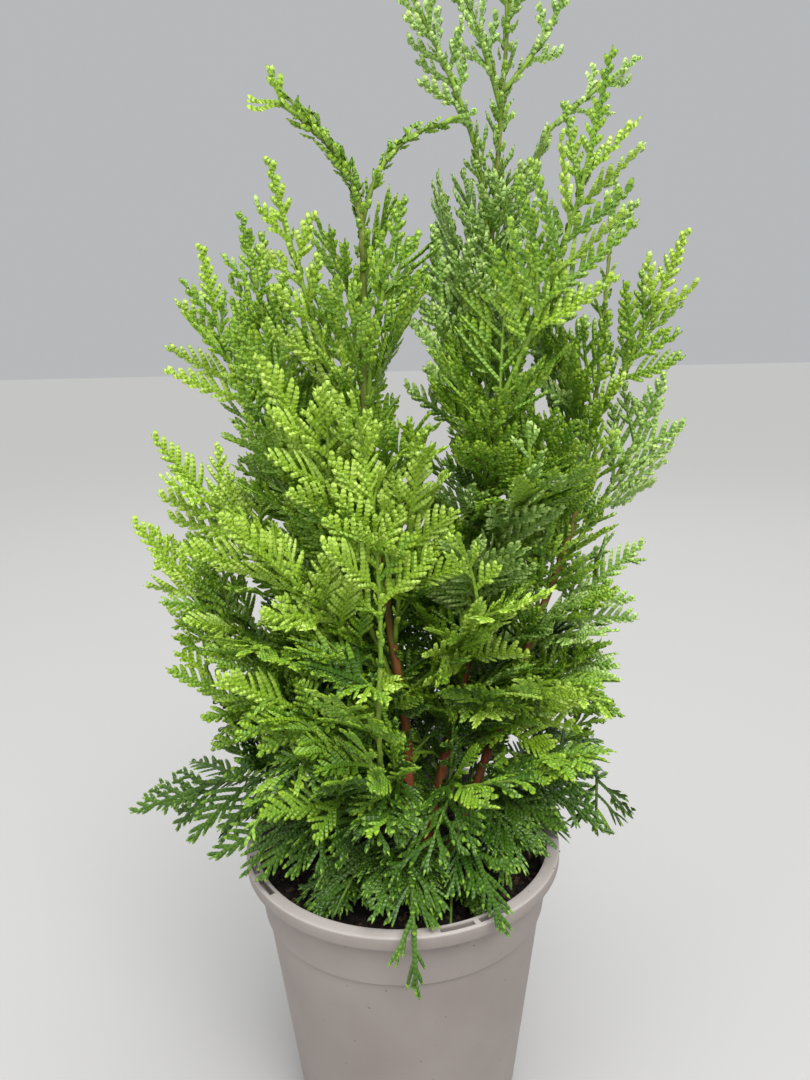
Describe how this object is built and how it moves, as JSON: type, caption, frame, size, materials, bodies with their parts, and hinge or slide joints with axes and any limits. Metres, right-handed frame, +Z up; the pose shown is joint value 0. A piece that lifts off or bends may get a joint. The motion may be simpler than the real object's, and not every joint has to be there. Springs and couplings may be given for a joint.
{
  "type": "potted thuja",
  "caption": "Young evergreen thuja with upright stems and flat scaly sprays, growing in a round taupe plastic nursery pot of compost",
  "frame": {"origin": "middle of the pot's flat underside, on the surface that it stands on", "axes": "+Z up along the plant, -Y towards the front of the plant, +X to the right seen from the front"},
  "size_m": [0.3322, 0.2404, 0.69],
  "materials": {
    "pot_plastic": "moulded taupe polypropylene, slightly glossy on the rim, fine scratches",
    "compost": "dark moist compost of bark crumbs and fibres",
    "bark_red": "thin reddish-brown bark with fine lengthwise fissures",
    "bark_green": "young yellow-green bark with flat scale leaves",
    "foliage_deep": "dark green scale leaves in flat sprays",
    "foliage_mid": "mid green scale leaves in flat sprays",
    "foliage_young": "yellow-green young scale leaves in flat sprays",
    "foliage_blue": "pale blue-green scale leaves in flat sprays"
  },
  "bodies": {
    "root": {"pot": "pot_plastic", "soil": "compost", "stem_left": "bark_red", "stem_middle": "bark_red", "stem_right": "bark_red", "bough_front": "bark_green", "bough_left": "bark_green", "bough_left_low": "bark_green", "bough_right_front": "bark_green", "bough_crossing": "bark_green", "bough_upper_left": "bark_green", "bough_upper_right": "bark_green", "foliage_left_leader": "foliage_young", "foliage_crossing_tip": "foliage_blue", "foliage_arching_left": "foliage_young", "foliage_centre_tip": "foliage_mid", "foliage_upper_left": "foliage_mid", "foliage_left_high": "foliage_mid", "foliage_left_mid": "foliage_young", "foliage_left_wide": "foliage_mid", "foliage_left_shade": "foliage_deep", "foliage_left_low": "foliage_mid", "foliage_left_droop": "foliage_deep", "foliage_front_left_droop": "foliage_deep", "foliage_front_left_high": "foliage_young", "foliage_front_left_mid": "foliage_young", "foliage_front_left_low": "foliage_mid", "foliage_front_left_skirt": "foliage_mid", "foliage_front_leader": "foliage_young", "foliage_front_low": "foliage_mid", "foliage_front_droop": "foliage_mid", "foliage_front_right_droop": "foliage_deep", "foliage_front_right_low": "foliage_mid", "foliage_front_right_mid": "foliage_mid", "foliage_front_centre": "foliage_young", "foliage_front_right_high": "foliage_mid", "foliage_centre_high": "foliage_blue", "foliage_right_tall": "foliage_mid", "foliage_right_reach": "foliage_mid", "foliage_right_inner": "foliage_blue", "foliage_right_leader": "foliage_blue", "foliage_right_mid": "foliage_mid", "foliage_right_wide": "foliage_deep", "foliage_right_low": "foliage_deep", "foliage_right_skirt": "foliage_mid", "foliage_front_right_skirt": "foliage_mid", "foliage_front_right_wide": "foliage_mid", "foliage_top_left": "foliage_blue", "foliage_top_right": "foliage_blue", "foliage_top_fork_left": "foliage_blue", "foliage_top_fork_right": "foliage_blue", "foliage_top": "foliage_blue", "foliage_back_high": "foliage_mid", "foliage_back_left_high": "foliage_mid", "foliage_back_right_high": "foliage_mid", "foliage_back_left_mid": "foliage_deep", "foliage_back_mid": "foliage_deep", "foliage_back_right_low": "foliage_deep", "foliage_back_low": "foliage_deep", "foliage_back_left_low": "foliage_deep"}
  },
  "joints": []
}
